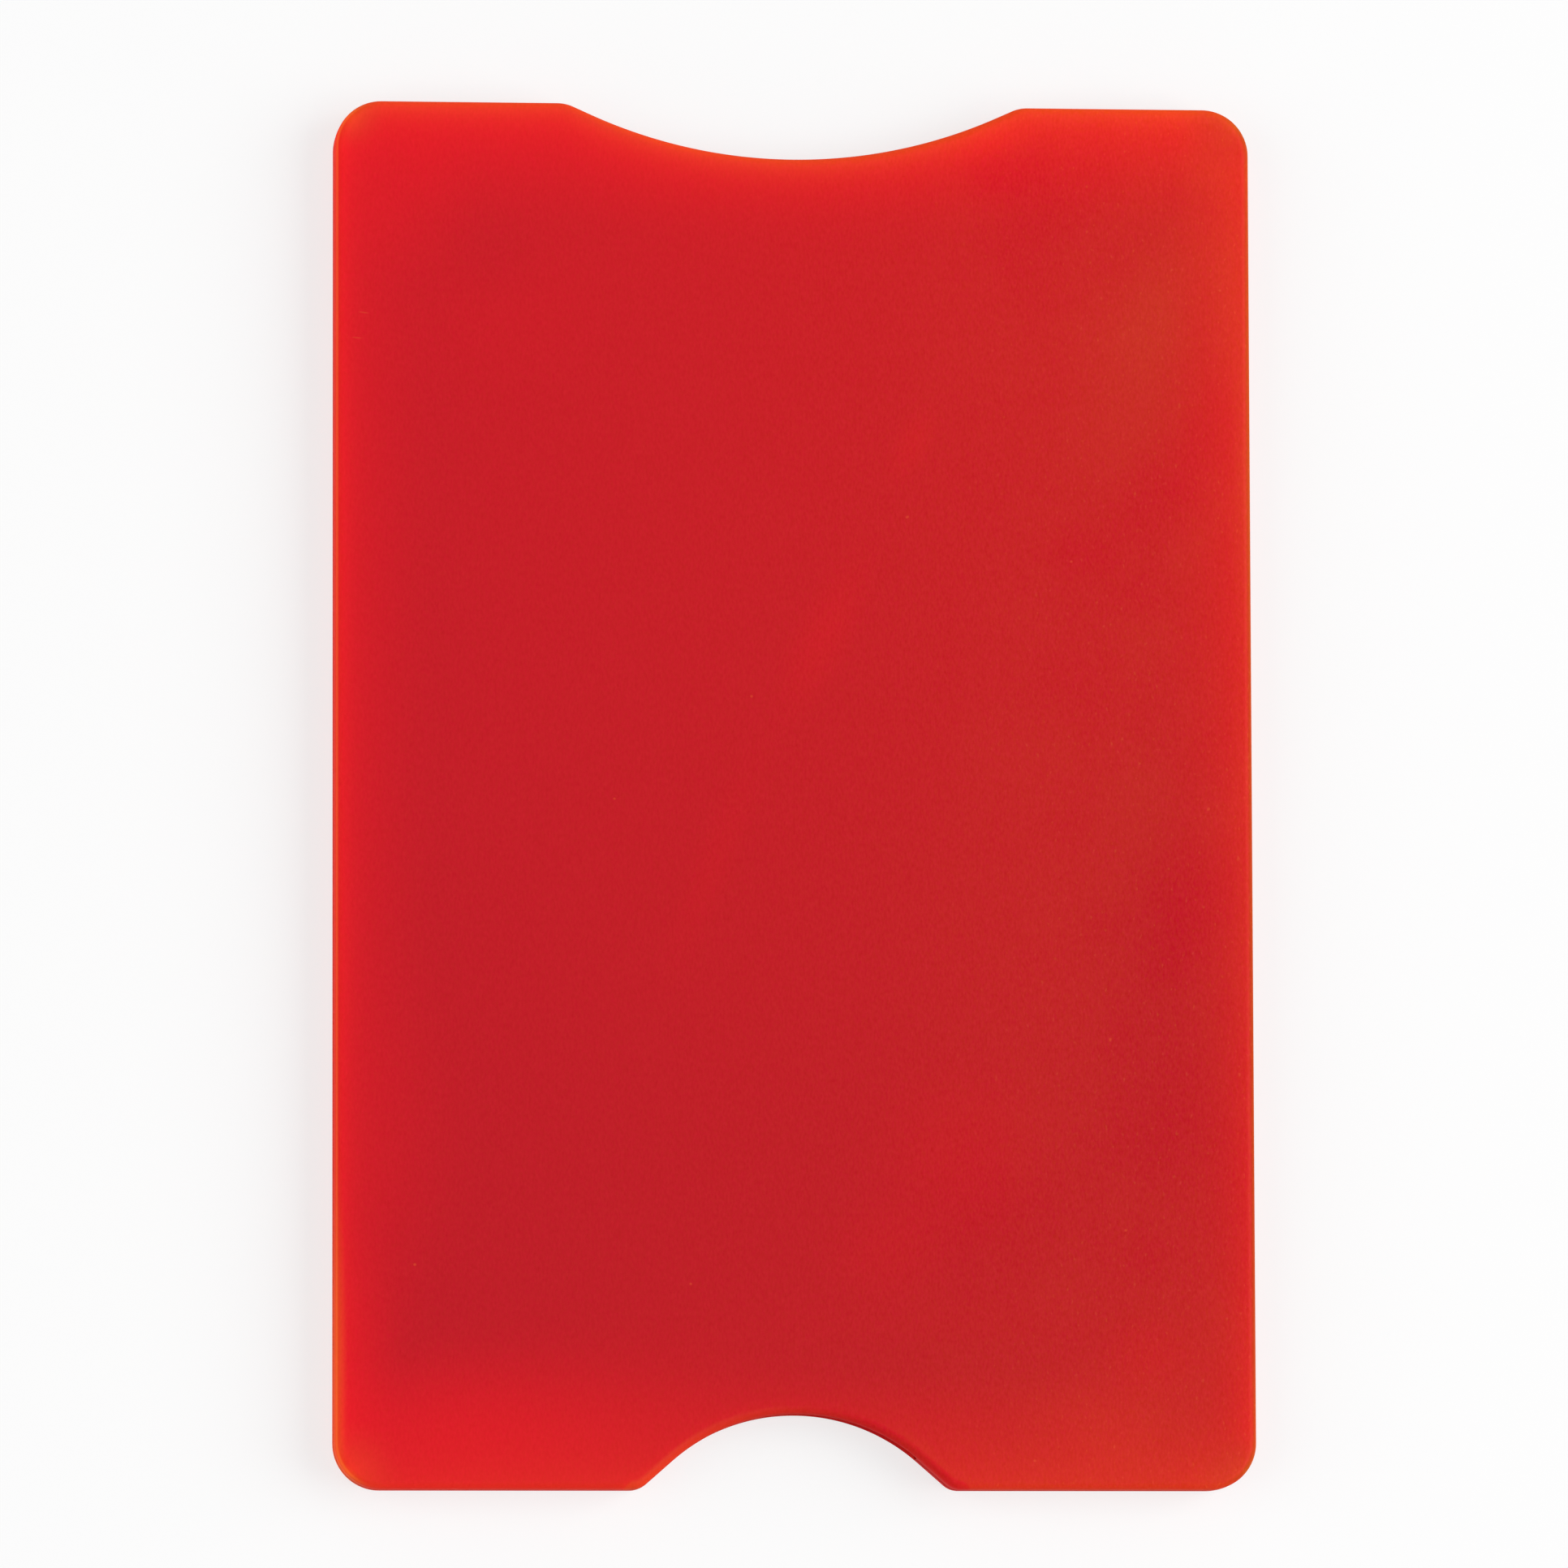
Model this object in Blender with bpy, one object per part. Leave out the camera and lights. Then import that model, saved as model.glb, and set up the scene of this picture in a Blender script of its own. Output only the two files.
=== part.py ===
# A hard plastic sleeve for one payment card, with a metal foil inside each wall that blocks radio reading.
# It lies on its rear face: +X across, +Y towards the mouth where the card goes in, +Z up out of the front face.
# The origin is the middle of the rear face. Two moulded shells are welded round three sides and leave a thin
# pocket between them. Each shell carries a foil on an adhesive film, in a recess of its inner face.
import math

import bmesh
import bpy

MM = 0.001  # the scene is in metres

# Driving sizes: the card, the room round it and the walls round that room
CARD_WIDTH = 53.98 * MM
CARD_LENGTH = 85.6 * MM
CARD_THICKNESS = 0.76 * MM
EMBOSSING = 0.48 * MM  # raised figures on an older card
SIDE_CLEARANCE = 0.51 * MM  # from each long edge of the card to its rail
HEIGHT_CLEARANCE = 0.16 * MM
MOUTH_SETBACK = 1.4 * MM  # from the seated card's edge up to the mouth
RAIL_WIDTH = 2.0 * MM
STOP_WIDTH = 2.0 * MM  # the closed end, either side of the thumb notch
WALL = 1.0 * MM

# The case's outline and its moulded edges
CORNER_RADIUS = 3.0 * MM
FACE_ROUND = 0.5 * MM  # round along the edge of each outer face
DRAFT_ANGLE = math.radians(1.0)
REVEAL = 0.15 * MM  # chamfer of each shell where they meet, which leaves a fine groove round the case
WELD_GAP = 0.04 * MM

# The wide notch at the mouth and the narrow thumb notch at the closed end
MOUTH_NOTCH_WIDTH = 29.3 * MM
MOUTH_NOTCH_DEPTH = 3.5 * MM
MOUTH_SHOULDER = 2.5 * MM
MOUTH_FLANK_SHARE = 0.20  # of the notch's depth that is a straight flank
THUMB_NOTCH_WIDTH = 20.0 * MM
THUMB_NOTCH_DEPTH = 4.8 * MM
THUMB_SHOULDER = 1.4 * MM
THUMB_FLANK_SHARE = 0.38

# The card pocket
POCKET_CORNER = 2.0 * MM
FLARE_LENGTH = 3.0 * MM  # the rails open out over this length at the mouth
FLARE = 0.5 * MM
GRIP_LENGTH = 9.0 * MM  # a low swelling on each rail that keeps the card from sliding out
GRIP_CLEARANCE = 0.06 * MM
GRIP_FROM_MOUTH = 20.0 * MM
LEAD_IN_WIDTH = 0.55 * MM  # chamfer on the walls' inner edge at the mouth and at the thumb notch
LEAD_IN_DEPTH = 0.35 * MM
LEAD_IN_LAND = 0.2 * MM  # it stops this far short of the rails and stops

# The weld tongue on the front shell and the groove for it in the rear one
TONGUE_WIDTH = 0.6 * MM
TONGUE_HEIGHT = 0.4 * MM
TONGUE_CHAMFER = 0.12 * MM
GROOVE_SIDE_CLEARANCE = 0.05 * MM
GROOVE_FLOOR_CLEARANCE = 0.08 * MM

# The shield foils, the films that hold them and the recesses that they lie in
FOIL_THICKNESS = 0.10 * MM
ADHESIVE_THICKNESS = 0.05 * MM
ADHESIVE_MARGIN = 0.6 * MM  # the film stops short of the foil's edge
LAYER_GAP = 0.02 * MM
RECESS_CLEARANCE = 0.15 * MM
FOIL_SIDE_MARGIN = 0.9 * MM  # from a rail to the foil
FOIL_MOUTH_MARGIN = 1.3 * MM  # from the mouth notch to the foil
FOIL_THUMB_MARGIN = 2.3 * MM  # from the thumb notch to the foil
FOIL_CORNER = 1.5 * MM

OVERRUN = 0.8 * MM  # cutters run past the faces they cut by this
ROOT_OVERLAP = 0.2 * MM  # the tongue is sunk into its shell by this before they are joined

# Facets along each round stretch
NOTCH_STEPS = 14
SHOULDER_STEPS = 5
CORNER_STEPS = 10
FACE_ROUND_STEPS = 5
GRIP_STEPS = 8
SMALL_CORNER_STEPS = 6
SHARP_ANGLE = math.radians(30)  # edges that turn more than this stay sharp

# Sizes that follow from those above
pocket_width = CARD_WIDTH + 2 * SIDE_CLEARANCE
pocket_height = CARD_THICKNESS + EMBOSSING + HEIGHT_CLEARANCE
case_width = pocket_width + 2 * RAIL_WIDTH
case_length = STOP_WIDTH + CARD_LENGTH + MOUTH_SETBACK
case_thickness = pocket_height + 2 * WALL
half_width = case_width / 2
half_length = case_length / 2
parting_height = case_thickness / 2 - WELD_GAP / 2  # each shell's own height
grip_height = SIDE_CLEARANCE - GRIP_CLEARANCE
recess_depth = FOIL_THICKNESS + ADHESIVE_THICKNESS + 3 * LAYER_GAP
foil_width = pocket_width - 2 * FOIL_SIDE_MARGIN
foil_top = half_length - MOUTH_NOTCH_DEPTH - FOIL_MOUTH_MARGIN
foil_bottom = -half_length + THUMB_NOTCH_DEPTH + FOIL_THUMB_MARGIN

# Finishes, each as colour, roughness and metallic value
RED_PLASTIC = ((0.62, 0.016, 0.020), 0.32, 0.0)
BARE_FOIL = ((0.56, 0.56, 0.58), 0.35, 1.0)
CLEAR_ADHESIVE = ((0.80, 0.79, 0.74), 0.45, 0.0)


# Points of round stretches
def arc(centre, radius, start, end, steps):
    """Points of an arc from the angle start to the angle end, both ends included."""
    turn = (end - start) / steps
    return [
        (
            centre[0] + radius * math.cos(start + turn * i),
            centre[1] + radius * math.sin(start + turn * i),
        )
        for i in range(steps + 1)
    ]


def mirrored(points):
    """The same points on the other side of the YZ plane, in the order that carries on round the case."""
    return [(-x, y) for x, y in reversed(points)]


# Outline of the case
def notch_shape(width, depth, flank_share):
    """Radius of a notch's arc and slope of its flanks, where the arc passes smoothly into straight flanks."""
    slim = width / 2 / depth
    half_tangent = (math.sqrt(slim**2 + flank_share * (2 - flank_share)) - slim) / flank_share
    slope = 2 * math.atan(half_tangent)
    radius = (1 - flank_share) * depth / (1 - math.cos(slope))
    return radius, slope


def half_notch(width, depth, flank_share, shoulder, inset):
    """Arc and shoulder of half a notch as (across, inwards from the edge), for an outline drawn in by inset."""
    radius, slope = notch_shape(width, depth, flank_share)
    top = math.pi / 2
    curve = arc((0, depth - radius), radius + inset, top, top - slope, NOTCH_STEPS)
    shoulder_x = width / 2 + shoulder * math.tan(slope / 2)
    rounding = arc((shoulder_x, shoulder), shoulder - inset, -top - slope, -top, SHOULDER_STEPS)
    return curve, rounding


def outline_pieces(inset):
    """The right half of the case's outline, drawn in by inset, from the thumb notch round to the mouth notch."""
    thumb_curve, thumb_shoulder = half_notch(
        THUMB_NOTCH_WIDTH, THUMB_NOTCH_DEPTH, THUMB_FLANK_SHARE, THUMB_SHOULDER, inset
    )
    mouth_curve, mouth_shoulder = half_notch(
        MOUTH_NOTCH_WIDTH, MOUTH_NOTCH_DEPTH, MOUTH_FLANK_SHARE, MOUTH_SHOULDER, inset
    )
    corner_x = half_width - CORNER_RADIUS
    corner_y = half_length - CORNER_RADIUS
    radius = CORNER_RADIUS - inset
    quarter = math.pi / 2
    return {
        "thumb_curve": [(x, -half_length + v) for x, v in thumb_curve],
        "thumb_shoulder": [(x, -half_length + v) for x, v in thumb_shoulder],
        "stop_corner": arc((corner_x, -corner_y), radius, -quarter, 0, CORNER_STEPS),
        "mouth_corner": arc((corner_x, corner_y), radius, 0, quarter, CORNER_STEPS),
        "mouth_shoulder": [(x, half_length - v) for x, v in reversed(mouth_shoulder)],
        "mouth_curve": [(x, half_length - v) for x, v in reversed(mouth_curve)],
    }


def whole_outline(inset):
    """The closed outline, anticlockwise from the middle of the thumb notch."""
    right = [point for piece in outline_pieces(inset).values() for point in piece]
    return right + mirrored(right)[1:-1]


def weld_path(inset, end_room):
    """Down the middle of the right stop, round the corner and up the right rail, with room past each end."""
    pieces = outline_pieces(inset)
    stop_x, stop_y = pieces["thumb_shoulder"][-1]
    rail_x, rail_y = pieces["mouth_corner"][0]
    return [(stop_x - end_room, stop_y), *pieces["stop_corner"], (rail_x, rail_y + end_room)]


def mouth_path(inset):
    """Along the edge of the mouth from corner to corner, in and out of its notch."""
    pieces = outline_pieces(inset)
    right = [*pieces["mouth_corner"], *pieces["mouth_shoulder"], *pieces["mouth_curve"]]
    return right + mirrored(right)[1:]


def thumb_path(inset):
    """Along the curve of the thumb notch from flank to flank."""
    right = outline_pieces(inset)["thumb_curve"]
    return mirrored(right) + right[1:]


# Meshes
def closed_mesh(name, points, faces):
    mesh = bpy.data.meshes.new(name)
    mesh.from_pydata(points, [], faces)
    build = bmesh.new()
    build.from_mesh(mesh)
    bmesh.ops.recalc_face_normals(build, faces=build.faces)
    build.to_mesh(mesh)
    build.free()
    return mesh


def sweep(name, section, path, ring):
    """Carries a section of (inset, height) points round the case. A ring is closed and has a flat face at
    each end of an open section. Otherwise the section is closed and the path's two ends are capped."""
    rows = [[(x, y, height) for x, y in path(inset)] for inset, height in section]
    count = len(rows[0])
    points = [point for row in rows for point in row]
    steps = count if ring else count - 1
    spans = len(rows) - 1 if ring else len(rows)
    faces = []
    for r in range(spans):
        here = r * count
        above = (r + 1) % len(rows) * count
        for s in range(steps):
            after = (s + 1) % count
            faces.append((here + s, here + after, above + after, above + s))
    if ring:
        faces.append(tuple(range(count)))
        faces.append(tuple(range(spans * count, (spans + 1) * count)))
    else:
        faces.append(tuple(r * count for r in range(len(rows))))
        faces.append(tuple(r * count + steps for r in range(len(rows))))
    return closed_mesh(name, points, faces)


def prism(name, outline, low, high):
    """A flat outline raised from low to high."""
    count = len(outline)
    points = [(x, y, z) for z in (low, high) for x, y in outline]
    sides = [(i, (i + 1) % count, (i + 1) % count + count, i + count) for i in range(count)]
    ends = [tuple(range(count)), tuple(range(count, 2 * count))]
    return closed_mesh(name, points, sides + ends)


def rounded_sheet(width, bottom, top, radius):
    """A rectangle with round corners, centred across the case."""
    x = width / 2 - radius
    quarter = math.pi / 2
    right = arc((x, bottom + radius), radius, -quarter, 0, SMALL_CORNER_STEPS) + arc(
        (x, top - radius), radius, 0, quarter, SMALL_CORNER_STEPS
    )
    return right + mirrored(right)


def pocket_outline():
    """The card's space: square at the stops, with a grip swelling on each rail and a flare past the mouth."""
    x = pocket_width / 2
    bottom = -half_length + STOP_WIDTH
    quarter = math.pi / 2
    corner = arc(
        (x - POCKET_CORNER, bottom + POCKET_CORNER), POCKET_CORNER, -quarter, 0, SMALL_CORNER_STEPS
    )
    grip_radius = (GRIP_LENGTH**2 / 4 + grip_height**2) / (2 * grip_height)
    reach = math.asin(GRIP_LENGTH / 2 / grip_radius)
    grip_centre = (x - grip_height + grip_radius, half_length - GRIP_FROM_MOUTH)
    grip = arc(grip_centre, grip_radius, math.pi + reach, math.pi - reach, GRIP_STEPS)
    past_mouth = FLARE_LENGTH + OVERRUN
    flare = [
        (x, half_length - FLARE_LENGTH),
        (x + FLARE * past_mouth / FLARE_LENGTH, half_length + OVERRUN),
    ]
    right = corner + grip + flare
    return right + mirrored(right)


# Sections, each as (inset, height) points
def shell_section():
    """From the flat of the outer face, round its edge and up the leaning wall to the weld face."""
    lean = math.tan(DRAFT_ANGLE)
    quarter = math.pi / 2
    rounding = arc((FACE_ROUND, FACE_ROUND), FACE_ROUND, -quarter, -2 * quarter, FACE_ROUND_STEPS)
    top = parting_height - REVEAL
    wall = [(inset + lean * (top - height), height) for inset, height in rounding]
    return wall + [(0, top), (REVEAL, parting_height)]


def tongue_section(side_room, root, crown):
    """Across the weld tongue, or across its groove, with the corners of the crown taken off."""
    middle = RAIL_WIDTH / 2
    half = TONGUE_WIDTH / 2 + side_room
    shoulder = crown + math.copysign(TONGUE_CHAMFER, root - crown)
    return [
        (middle - half, root),
        (middle - half, shoulder),
        (middle - half + TONGUE_CHAMFER, crown),
        (middle + half - TONGUE_CHAMFER, crown),
        (middle + half, shoulder),
        (middle + half, root),
    ]


def lead_in_section():
    """Across the wedge that takes the inner edge off a wall."""
    past = OVERRUN / LEAD_IN_WIDTH
    low = WALL - LEAD_IN_DEPTH * (1 + past)
    high = WALL + LEAD_IN_DEPTH * past
    return [(-OVERRUN, low), (LEAD_IN_WIDTH + OVERRUN, high), (-OVERRUN, high)]


# Objects
def finish_object(shape, finish):
    """Gives a piece its own material and shades its round stretches smooth."""
    colour, roughness, metallic = finish
    material = bpy.data.materials.new(f"{shape.name}_finish")
    material.use_nodes = True
    shader = material.node_tree.nodes["Principled BSDF"]
    shader.inputs["Base Color"].default_value = (*colour, 1)
    shader.inputs["Roughness"].default_value = roughness
    shader.inputs["Metallic"].default_value = metallic
    shape.data.materials.append(material)
    shape.data.shade_smooth()
    shape.data.set_sharp_from_angle(angle=SHARP_ANGLE)


def add_object(mesh, parent):
    shape = bpy.data.objects.new(mesh.name, mesh)
    bpy.context.scene.collection.objects.link(shape)
    shape.parent = parent
    return shape


def apply_tool(target, mesh, operation):
    """Joins a mesh to the target, cuts it out or keeps what is inside it, by a modifier on the target."""
    tool = add_object(mesh, target.parent)
    tool.hide_render = True
    tool.display_type = "WIRE"
    boolean = target.modifiers.new(tool.name, "BOOLEAN")
    boolean.object = tool
    boolean.operation = operation
    boolean.solver = "EXACT"
    return tool


def both_rails(name, section, end_room):
    """The section swept along the weld of the right rail and stop, and its mirror image on the left."""
    right = sweep(f"{name}_right", section, lambda inset: weld_path(inset, end_room), ring=False)
    faces = [tuple(face.vertices) for face in right.polygons]
    points = [(-v.co.x, v.co.y, v.co.z) for v in right.vertices]
    return [right, closed_mesh(f"{name}_left", points, faces)]


def build_shell(side, parent):
    """One moulding without its weld, outer face down on its parent's XY plane and weld face up."""
    shell = add_object(sweep(f"{side}_shell", shell_section(), whole_outline, ring=True), parent)
    finish_object(shell, RED_PLASTIC)
    clear = parting_height + OVERRUN
    recess = rounded_sheet(
        foil_width + 2 * RECESS_CLEARANCE,
        foil_bottom - RECESS_CLEARANCE,
        foil_top + RECESS_CLEARANCE,
        FOIL_CORNER + RECESS_CLEARANCE,
    )
    apply_tool(shell, prism(f"{side}_pocket_cutter", pocket_outline(), WALL, clear), "DIFFERENCE")
    apply_tool(shell, prism(f"{side}_recess_cutter", recess, WALL - recess_depth, clear), "DIFFERENCE")
    inside = rounded_sheet(
        pocket_width - 2 * LEAD_IN_LAND,
        -half_length + STOP_WIDTH + LEAD_IN_LAND,
        half_length + 2 * OVERRUN,
        OVERRUN,
    )
    for name, path in (("mouth", mouth_path), ("thumb", thumb_path)):
        wedge = sweep(f"{side}_{name}_lead_in", lead_in_section(), path, ring=False)
        lead_in = apply_tool(shell, wedge, "DIFFERENCE")
        apply_tool(lead_in, prism(f"{side}_{name}_limit", inside, -OVERRUN, clear), "INTERSECT")
    return shell


def add_tongues(shell):
    """Raises the weld tongue along both rails and stops."""
    crown = parting_height + WELD_GAP + TONGUE_HEIGHT
    section = tongue_section(0, parting_height - ROOT_OVERLAP, crown)
    for tongue in both_rails("weld_tongue", section, 0):
        apply_tool(shell, tongue, "UNION")


def cut_grooves(shell):
    """Sinks the groove that the tongues enter."""
    floor = parting_height - TONGUE_HEIGHT - GROOVE_FLOOR_CLEARANCE
    section = tongue_section(GROOVE_SIDE_CLEARANCE, parting_height + OVERRUN, floor)
    for groove in both_rails("weld_groove", section, GROOVE_SIDE_CLEARANCE):
        apply_tool(shell, groove, "DIFFERENCE")


def build_shield(side, parent):
    """The foil and its adhesive film, stacked up from the floor of the recess."""
    film_low = WALL - recess_depth + LAYER_GAP
    foil_low = film_low + ADHESIVE_THICKNESS + LAYER_GAP
    film = rounded_sheet(
        foil_width - 2 * ADHESIVE_MARGIN,
        foil_bottom + ADHESIVE_MARGIN,
        foil_top - ADHESIVE_MARGIN,
        FOIL_CORNER,
    )
    foil = rounded_sheet(foil_width, foil_bottom, foil_top, FOIL_CORNER)
    layers = [
        (f"{side}_foil_adhesive", film, film_low, ADHESIVE_THICKNESS, CLEAR_ADHESIVE),
        (f"{side}_shield_foil", foil, foil_low, FOIL_THICKNESS, BARE_FOIL),
    ]
    for name, outline, low, thickness, finish in layers:
        finish_object(add_object(prism(name, outline, low, low + thickness), parent), finish)


def add_half(name, height, turn):
    """The empty that carries one half of the case."""
    half = bpy.data.objects.new(name, None)
    bpy.context.scene.collection.objects.link(half)
    half.location = (0, 0, height)
    half.rotation_euler = (0, turn, 0)
    return half


def main():
    for old in list(bpy.data.objects):
        bpy.data.objects.remove(old)
    rear_half = add_half("rear_half", 0, 0)
    front_half = add_half("front_half", case_thickness, math.pi)  # turned over on the rear half
    cut_grooves(build_shell("rear", rear_half))
    add_tongues(build_shell("front", front_half))
    build_shield("rear", rear_half)
    build_shield("front", front_half)
    bpy.context.view_layer.update()


main()
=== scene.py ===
# Looks of a hard red card holder with a shield foil in each wall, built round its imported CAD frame.
# It lies on its rear face: +X across, +Y towards the mouth, +Z up out of the front face.
# The CAD's foils and films stay and get their finishes here, and the two shells are made again with finer
# rounds.
import math

import bmesh
import bpy
import numpy as np
from mathutils import Euler, Matrix, Vector


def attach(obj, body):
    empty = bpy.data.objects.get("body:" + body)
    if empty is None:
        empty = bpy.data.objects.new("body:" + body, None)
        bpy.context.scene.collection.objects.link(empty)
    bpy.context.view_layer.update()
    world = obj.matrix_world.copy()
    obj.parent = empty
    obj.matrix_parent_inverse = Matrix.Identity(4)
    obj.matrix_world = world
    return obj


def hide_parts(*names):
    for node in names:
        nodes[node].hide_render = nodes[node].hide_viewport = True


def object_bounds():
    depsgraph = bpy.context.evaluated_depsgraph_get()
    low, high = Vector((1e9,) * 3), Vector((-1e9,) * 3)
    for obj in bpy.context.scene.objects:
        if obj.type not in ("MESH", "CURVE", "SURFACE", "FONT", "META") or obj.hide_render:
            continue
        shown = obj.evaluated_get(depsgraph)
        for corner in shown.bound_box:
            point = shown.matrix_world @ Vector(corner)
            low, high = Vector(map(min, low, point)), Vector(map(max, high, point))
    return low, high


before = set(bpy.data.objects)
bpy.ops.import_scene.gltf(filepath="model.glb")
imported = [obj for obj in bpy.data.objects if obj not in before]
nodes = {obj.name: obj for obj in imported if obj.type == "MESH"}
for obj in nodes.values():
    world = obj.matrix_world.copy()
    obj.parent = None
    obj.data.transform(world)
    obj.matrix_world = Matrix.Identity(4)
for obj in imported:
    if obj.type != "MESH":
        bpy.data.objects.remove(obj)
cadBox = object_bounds()
scene = bpy.context.scene
scene.view_settings.view_transform = "Standard"
mm = 0.001  # shapes are worked out in millimetres and made in metres


# Camera, with lengths in mm where nothing else is said
photoView = {
    "distance": 804.4,
    "tilt": 5.52,  # degrees towards the closed end
    "turn": -5.35,  # degrees towards the left rail
    "roll": -0.17,
    "aim": (-0.58, 0.75),
    "pixelsPerMm": 19.222,
    "imagePixels": 1932,
    "sensor": 36.0,
    "seenFrom": 0.01,  # metres
    "seenTo": 100.0,
}


# It is moved across by the aim and off by the distance, then turned about the object's middle. Its lens gives
# pixelsPerMm at that distance.
def addCamera(settings):
    data = bpy.data.cameras.new("photoCamera")
    camera = bpy.data.objects.new("photoCamera", data)
    scene.collection.objects.link(camera)
    turned = Euler([math.radians(settings[k]) for k in ("tilt", "turn", "roll")], "ZXY").to_matrix()
    middle = (cadBox[0][2] + cadBox[1][2]) / 2
    stand = Vector((*settings["aim"], settings["distance"])) * mm
    camera.matrix_world = Matrix.Translation(turned @ stand + Vector((0, 0, middle))) @ turned.to_4x4()
    pixels = settings["pixelsPerMm"] * settings["distance"]
    data.sensor_width = settings["sensor"]
    data.lens = pixels / settings["imagePixels"] * settings["sensor"]
    data.clip_start = settings["seenFrom"]
    data.clip_end = settings["seenTo"]
    scene.camera = camera
    print("camera placed")


# Node trees
def newMaterial(name):
    material = bpy.data.materials.new(name)
    material.use_nodes = True
    return material, material.node_tree, material.node_tree.nodes["Principled BSDF"]


def feed(tree, socket, value):
    if isinstance(value, bpy.types.NodeSocket):
        tree.links.new(value, socket)
    else:
        socket.default_value = value


def addNode(tree, kind, inputs=None, **settings):
    node = tree.nodes.new("ShaderNode" + kind)
    for name, value in settings.items():
        setattr(node, name, value)
    for name, value in (inputs or {}).items():
        feed(tree, node.inputs[name], value)
    return node


def maths(tree, operation, first, second=0.0, third=0.0):
    return addNode(tree, "Math", {0: first, 1: second, 2: third}, operation=operation).outputs[0]


def spread(tree, value, low, high, toLow=0.0, toHigh=1.0):  # low..high become toLow..toHigh, with soft ends
    steps = {"Value": value, "From Min": low, "From Max": high, "To Min": toLow, "To Max": toHigh}
    return addNode(tree, "MapRange", steps, interpolation_type="SMOOTHSTEP").outputs["Result"]


def blend(tree, share, first, second):  # first where the share is 0 and second where it is 1
    node = addNode(tree, "Mix", data_type="RGBA", blend_type="MIX")
    feed(tree, node.inputs["Factor"], share)
    feed(tree, node.inputs[6], first)  # inputs 6 and 7 and output 2 are the ones for colours
    feed(tree, node.inputs[7], second)
    return node.outputs[2]


def scaled(tree, colour, share):
    return addNode(tree, "VectorMath", {0: colour, "Scale": share}, operation="SCALE").outputs[0]


def added(tree, first, second):
    return addNode(tree, "VectorMath", {0: first, 1: second}, operation="ADD").outputs[0]


def noise(tree, place, settings):  # cells per metre along X, Y and Z
    cells = addNode(tree, "Mapping", {"Vector": place, "Scale": settings["cells"]}).outputs["Vector"]
    fineness = {"Detail": settings["detail"], "Roughness": settings["roughness"]}
    return addNode(tree, "TexNoise", {"Vector": cells, "Scale": 1.0, **fineness}).outputs["Fac"]


def attribute(tree, name):
    return addNode(tree, "Attribute", attribute_name=name).outputs["Fac"]


def relief(tree, height, depth, below=None):  # depth in mm
    steps = {"Height": height, "Distance": depth * mm, "Strength": 1.0}
    if below is not None:
        steps["Normal"] = below
    return addNode(tree, "Bump", steps).outputs[0]


# Room: a pale floor under the case and soft light from a studio that is dim overhead. Heights are the upward
# part of the direction that is looked in, from 0 at the horizon to 1 overhead.
room = {
    "floorSide": 24.0,  # metres
    "floorColour": (0.92, 0.92, 0.92, 1),
    "shadowShare": 0.30,  # of the floor's look that comes from the light that falls on it
    "horizonColour": (0.95, 0.95, 0.95, 1),
    "overheadColour": (0.24, 0.24, 0.24, 1),
    "horizonHeight": 0.15,
    "overheadHeight": 0.62,
}
# Places and sizes in metres, power in watts
lamps = {
    "rightSoftbox": {"place": (0.85, 0.00, 0.70), "size": (1.00, 1.00), "power": 11.6},
    "leftSoftbox": {"place": (-0.90, -0.05, 0.70), "size": (1.00, 1.00), "power": 4.5},
}


def addFloor(settings):
    half = settings["floorSide"] / 2
    mesh = bpy.data.meshes.new("floor")
    corners = [(-half, -half, 0), (half, -half, 0), (half, half, 0), (-half, half, 0)]
    mesh.from_pydata(corners, [], [(0, 1, 2, 3)])
    floor = bpy.data.objects.new("floor", mesh)
    scene.collection.objects.link(floor)
    material, tree, shader = newMaterial("paleFloor")
    tree.nodes.remove(shader)
    rays = addNode(tree, "LightPath").outputs
    seen = maths(tree, "MAXIMUM", rays["Is Camera Ray"], rays["Is Glossy Ray"])
    seen = maths(tree, "MAXIMUM", seen, rays["Is Transmission Ray"])
    share = maths(tree, "MULTIPLY", seen, 1 - settings["shadowShare"])
    lit = addNode(tree, "BsdfDiffuse", {"Color": settings["floorColour"]}).outputs[0]
    white = addNode(tree, "Emission", {"Color": (1, 1, 1, 1), "Strength": 1.0}).outputs[0]
    mixed = addNode(tree, "MixShader", {0: share, 1: lit, 2: white}).outputs[0]
    feed(tree, tree.nodes["Material Output"].inputs["Surface"], mixed)
    mesh.materials.append(material)


def addWorld(settings):
    world = bpy.data.worlds.new("studio")
    scene.world = world
    world.use_nodes = True
    tree = world.node_tree
    way = addNode(tree, "TexCoord").outputs["Generated"]
    height = addNode(tree, "SeparateXYZ", {"Vector": way}).outputs["Z"]
    share = spread(tree, height, settings["horizonHeight"], settings["overheadHeight"])
    colour = blend(tree, share, settings["horizonColour"], settings["overheadColour"])
    feed(tree, tree.nodes["Background"].inputs["Color"], colour)


def addLamps(settings):
    for name, lamp in settings.items():
        data = bpy.data.lights.new(name, "AREA")
        data.shape = "RECTANGLE"
        data.size, data.size_y = lamp["size"]
        data.energy = lamp["power"]
        light = bpy.data.objects.new(name, data)
        scene.collection.objects.link(light)
        place = Vector(lamp["place"])
        aim = (-place).to_track_quat("-Z", "Y").to_matrix().to_4x4()
        light.matrix_world = Matrix.Translation(place) @ aim
    print("room lit")


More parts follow.
